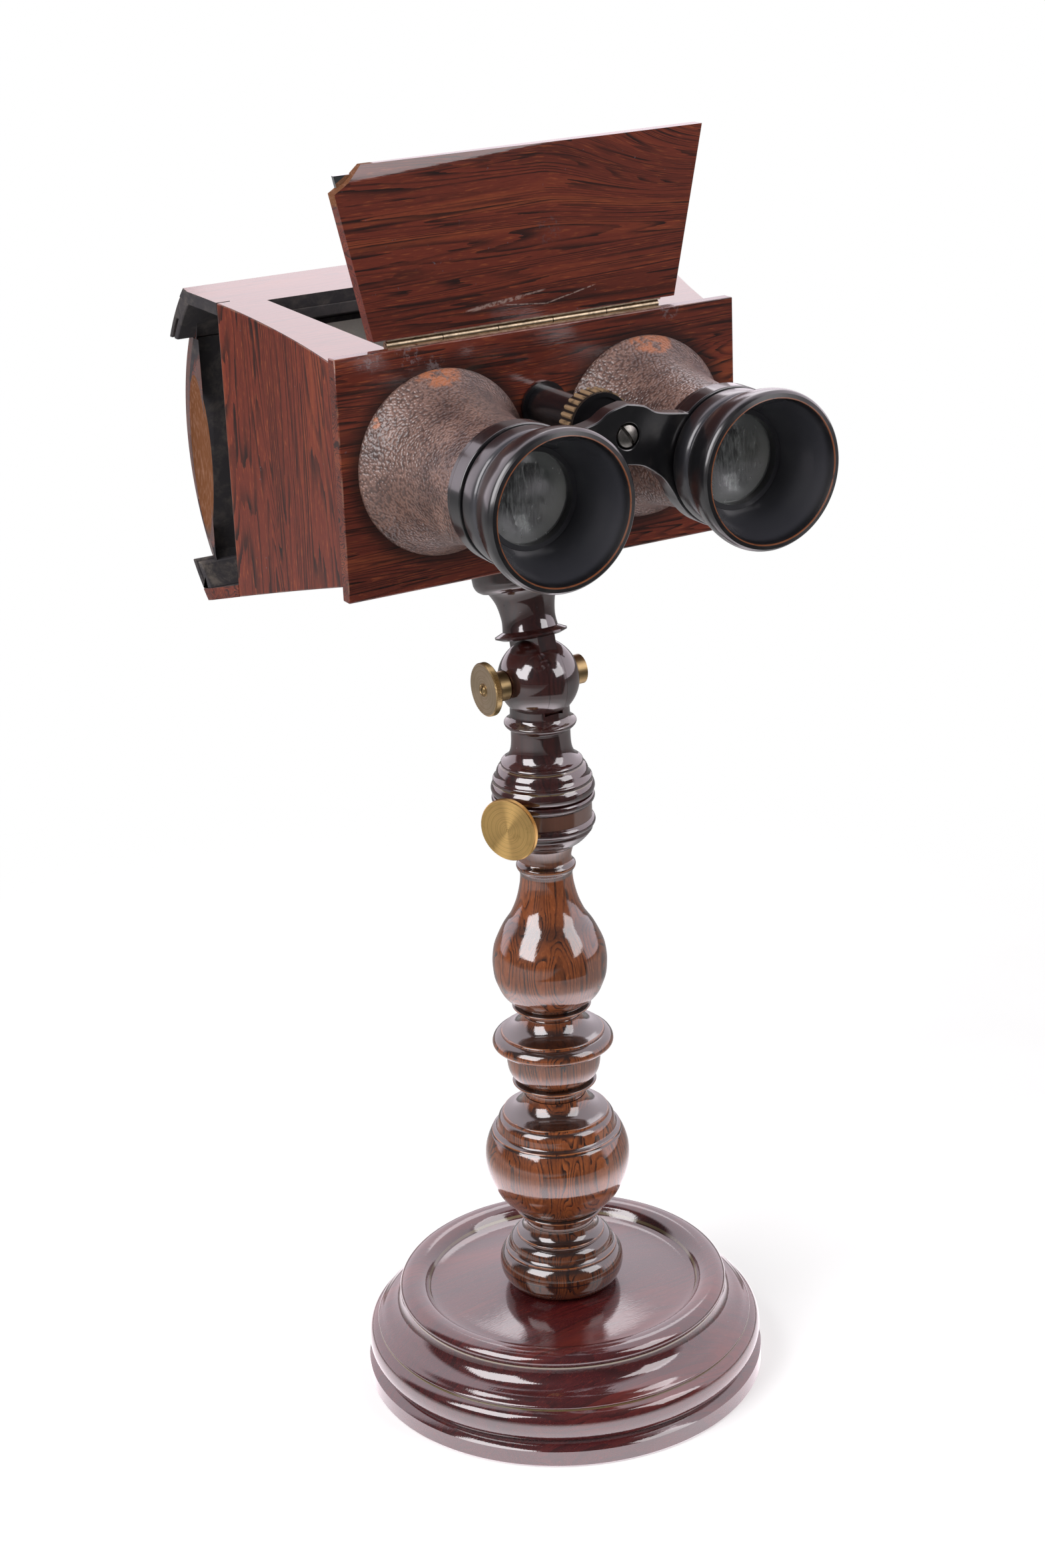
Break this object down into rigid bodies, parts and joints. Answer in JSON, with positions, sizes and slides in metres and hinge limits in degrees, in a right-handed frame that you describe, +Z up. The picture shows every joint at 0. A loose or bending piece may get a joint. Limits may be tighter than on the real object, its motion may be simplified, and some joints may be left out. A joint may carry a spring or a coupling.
{
  "type": "pedestal stereoscope",
  "caption": "Stereoscope on a turned wooden stand: flared card case with a hinged mirror lid, twin leather-covered focusing eyepieces and a sliding ground-glass back.",
  "frame": {"origin": "Centre of the underside of the round base, on the column's axis, at the surface the stand rests on.", "axes": "+Z up along the column, -Y is the direction the eyepieces look towards the user, +Y is the ground-glass back, +X is the user's right when looking into the eyepieces."},
  "size_m": [0.174, 0.1771, 0.436],
  "materials": {
    "base_wood": "dark wine-red French-polished turned wood",
    "column_wood": "polished turned rosewood with near-black streaks",
    "dark_wood": "very dark glossy polished turned wood",
    "rod_wood": "waxed wooden sliding rod",
    "rosewood": "French-polished rosewood boards",
    "ebonised_wood": "dull black ebonised wood",
    "brass": "aged lacquered brass",
    "steel": "bright steel screws",
    "black_lacquer": "black lacquered metal and turned fittings",
    "leather": "worn brown grained leather sleeve",
    "lens_glass": "dusty crown glass lens",
    "ground_glass": "white ground glass",
    "mirror": "silvered glass mirror"
  },
  "bodies": {
    "stand": {"base": "base_wood", "lower_baluster": "column_wood", "upper_baluster": "column_wood", "clamp_collar": "dark_wood", "clamp_bush": "brass"},
    "clamp": {"clamp_screw": "brass", "clamp_knob": "brass"},
    "mast": {"stem_rod": "rod_wood"},
    "stem": {"upper_stem": "dark_wood", "tilt_nut": "brass"},
    "tilt_lock": {"tilt_screw": "brass", "tilt_knob": "brass"},
    "head": {"head_socket": "dark_wood", "flange_screws": "steel", "floor_board": "rosewood", "roof_board": "rosewood", "side_wall_left": "rosewood", "side_wall_right": "rosewood", "front_board": "rosewood", "septum": "ebonised_wood", "card_guides": "ebonised_wood", "top_rail": "ebonised_wood", "bottom_rail": "ebonised_wood", "hinge_leaf_roof": "brass", "hinge_pin": "brass", "hinge_screws": "brass", "barrel_left": "black_lacquer", "barrel_right": "black_lacquer", "leather_left": "leather", "leather_right": "leather", "focus_housing": "black_lacquer"},
    "lid_panel": {"hinge_leaf_lid": "brass", "lid_screws": "brass", "lid": "rosewood", "lid_mirror": "mirror"},
    "sliding_back": {"back_frame": "rosewood", "ground_glass": "ground_glass"},
    "eyepieces": {"draw_tube_left": "black_lacquer", "draw_tube_right": "black_lacquer", "eyecup_left": "black_lacquer", "eyecup_right": "black_lacquer", "lens_left": "lens_glass", "lens_right": "lens_glass", "lens_ring_left": "black_lacquer", "lens_ring_right": "black_lacquer", "eyepiece_bridge": "black_lacquer"},
    "focus": {"focus_screw": "steel", "focus_wheel": "black_lacquer", "slotted_screw": "steel"}
  },
  "joints": [
    {"name": "clamp_turn", "type": "hinge", "parent": "stand", "child": "clamp", "pos_m": [0, 0, 0.2145], "axis": [-0.8829, -0.4695, 0], "continuous": true},
    {"name": "height_slide", "type": "slide", "parent": "stand", "child": "mast", "axis": [0, 0, 1], "range_m": [0, 0.07]},
    {"name": "head_swivel", "type": "hinge", "parent": "mast", "child": "stem", "pos_m": [0, 0, 0.2207], "axis": [0, 0, 1], "continuous": true},
    {"name": "tilt_lock_turn", "type": "hinge", "parent": "stem", "child": "tilt_lock", "pos_m": [0, 0, 0.26104], "axis": [-1, 0, 0], "continuous": true},
    {"name": "head_tilt", "type": "hinge", "parent": "stem", "child": "head", "pos_m": [0, 0, 0.26104], "axis": [1, 0, 0], "range_deg": [-40, 40]},
    {"name": "lid_hinge", "type": "hinge", "parent": "head", "child": "lid_panel", "pos_m": [0, 0, 0.37982], "axis": [1, 0, 0], "range_deg": [-77.5, 20]},
    {"name": "back_slide", "type": "slide", "parent": "head", "child": "sliding_back", "axis": [1, 0, 0], "range_m": [-0.08, 0.08]},
    {"name": "focus_slide", "type": "slide", "parent": "head", "child": "eyepieces", "axis": [0, -1, 0], "range_m": [0, 0.01]},
    {"name": "focus_turn", "type": "hinge", "parent": "eyepieces", "child": "focus", "pos_m": [0, -0.05, 0.35509], "axis": [0, -1, 0], "range_deg": [0, 606]}
  ],
  "couplings": [
    {"joint": "focus_turn", "follows": "focus_slide", "rad_per_m": 1047}
  ]
}
